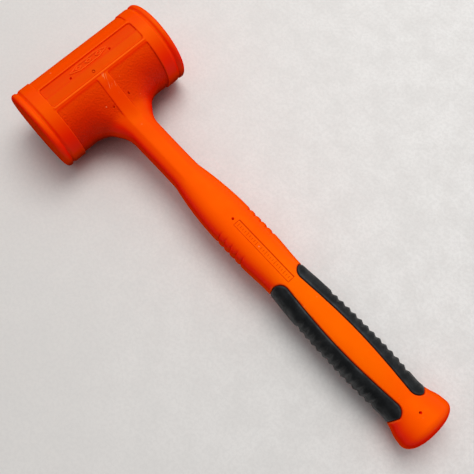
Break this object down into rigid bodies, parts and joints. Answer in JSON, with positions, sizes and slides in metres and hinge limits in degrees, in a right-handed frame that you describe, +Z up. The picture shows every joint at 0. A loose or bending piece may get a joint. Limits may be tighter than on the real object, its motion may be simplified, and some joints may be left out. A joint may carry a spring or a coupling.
{
  "type": "dead blow mallet",
  "caption": "Soft-faced dead blow mallet: a one-piece moulded urethane head and handle over a steel shot canister and core rod, with ribbed rubber grip inlays.",
  "frame": {"origin": "bottom centre of the mallet's bounding box, on the bench it lies on", "axes": "+X along the handle from the head towards the butt, Y along the head from face to face, +Z up from the bench; the handle slopes down 2.3 degrees towards the butt, so that both head flanges and the butt touch the bench"},
  "size_m": [0.3495, 0.108, 0.0604],
  "materials": {
    "orange_urethane": "semi-matte moulded urethane",
    "charcoal_rubber": "matte ribbed rubber",
    "bare_steel": "plain turned and welded steel"
  },
  "bodies": {
    "mallet": {"overmould": "orange_urethane", "grip_left": "charcoal_rubber", "grip_right": "charcoal_rubber", "canister_tube": "bare_steel", "canister_cap_left": "bare_steel", "canister_cap_right": "bare_steel", "core_rod": "bare_steel"},
    "shot_charge": {"shot_01": "bare_steel", "shot_02": "bare_steel", "shot_03": "bare_steel", "shot_04": "bare_steel", "shot_05": "bare_steel", "shot_06": "bare_steel", "shot_07": "bare_steel", "shot_08": "bare_steel", "shot_09": "bare_steel", "shot_10": "bare_steel", "shot_11": "bare_steel", "shot_12": "bare_steel", "shot_13": "bare_steel", "shot_14": "bare_steel", "shot_15": "bare_steel", "shot_16": "bare_steel", "shot_17": "bare_steel", "shot_18": "bare_steel", "shot_19": "bare_steel", "shot_20": "bare_steel", "shot_21": "bare_steel", "shot_22": "bare_steel", "shot_23": "bare_steel", "shot_24": "bare_steel", "shot_25": "bare_steel", "shot_26": "bare_steel", "shot_27": "bare_steel", "shot_28": "bare_steel"}
  },
  "joints": [
    {"name": "shot_travel", "type": "slide", "parent": "mallet", "child": "shot_charge", "axis": [0, 1, 0], "range_m": [-0.009, 0.009]}
  ]
}
